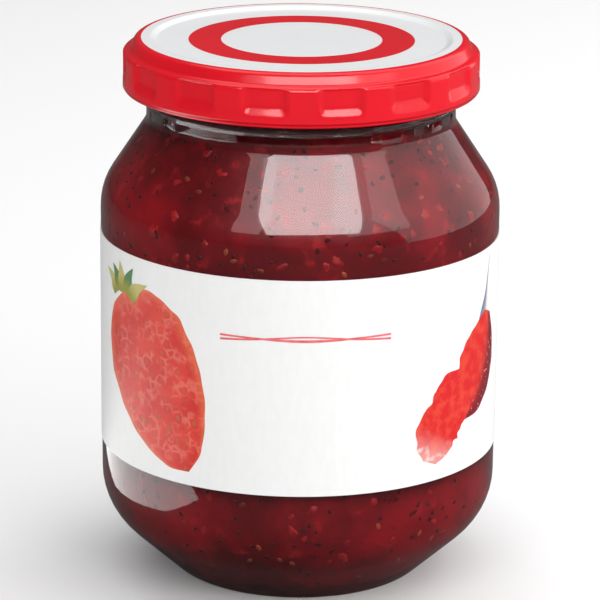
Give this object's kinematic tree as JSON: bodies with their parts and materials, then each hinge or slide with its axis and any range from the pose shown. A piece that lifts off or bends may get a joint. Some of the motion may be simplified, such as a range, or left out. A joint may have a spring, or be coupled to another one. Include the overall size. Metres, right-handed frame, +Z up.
{
  "type": "jam jar",
  "caption": "Clear glass jar full of red fruit jam, with a plain white paper label and a red and white metal twist-off cap, closed.",
  "frame": {"origin": "centre of the base, on the plane the jar stands on", "axes": "+Z up along the jar's axis; the middle of the label faces -Y"},
  "size_m": [0.0742, 0.0742, 0.1014],
  "materials": {
    "clear_glass": "polished",
    "jam": "glossy, stands for jam",
    "label_paper": "semi-matte, stands for coated paper",
    "cap_lacquer": "gloss lacquer, red with a printed white top"
  },
  "bodies": {
    "root": {"glass_jar": "clear_glass", "jam": "jam", "label": "label_paper", "cap": "cap_lacquer"}
  },
  "joints": []
}
